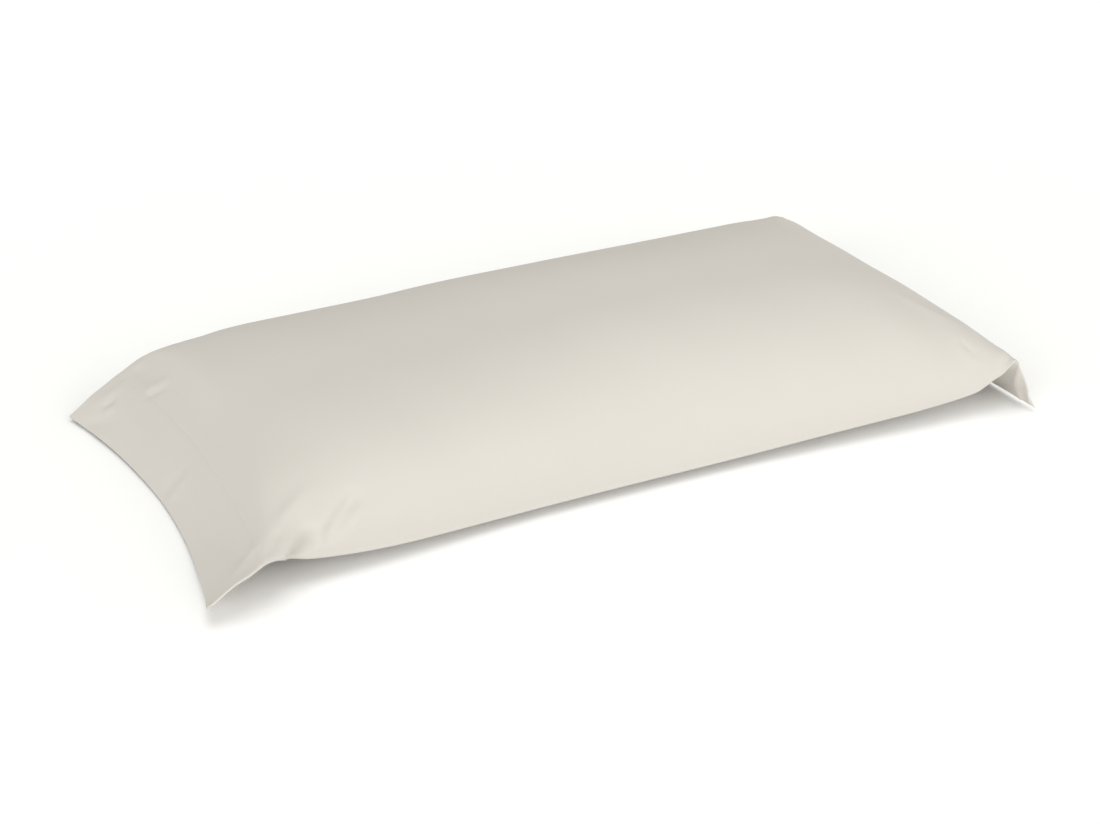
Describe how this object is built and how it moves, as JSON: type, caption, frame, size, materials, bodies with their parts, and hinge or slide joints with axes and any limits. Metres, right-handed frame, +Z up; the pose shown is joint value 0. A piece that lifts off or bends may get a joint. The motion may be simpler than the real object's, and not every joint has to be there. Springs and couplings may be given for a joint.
{
  "type": "pillowcase on its pillow",
  "caption": "Long off-white cotton pillowcase on its pillow, with a wide hem at each open end hanging down to the surface it lies on.",
  "frame": {"origin": "centre of the bounding box, on the surface that the filled case lies on", "axes": "+X along the case towards the steeply hanging hem, +Y across it towards the seamed long side, +Z up"},
  "size_m": [0.842, 0.445, 0.118],
  "materials": {
    "cotton": "matt plain-weave cotton, off-white"
  },
  "bodies": {
    "root": {"case": "cotton"}
  },
  "joints": []
}
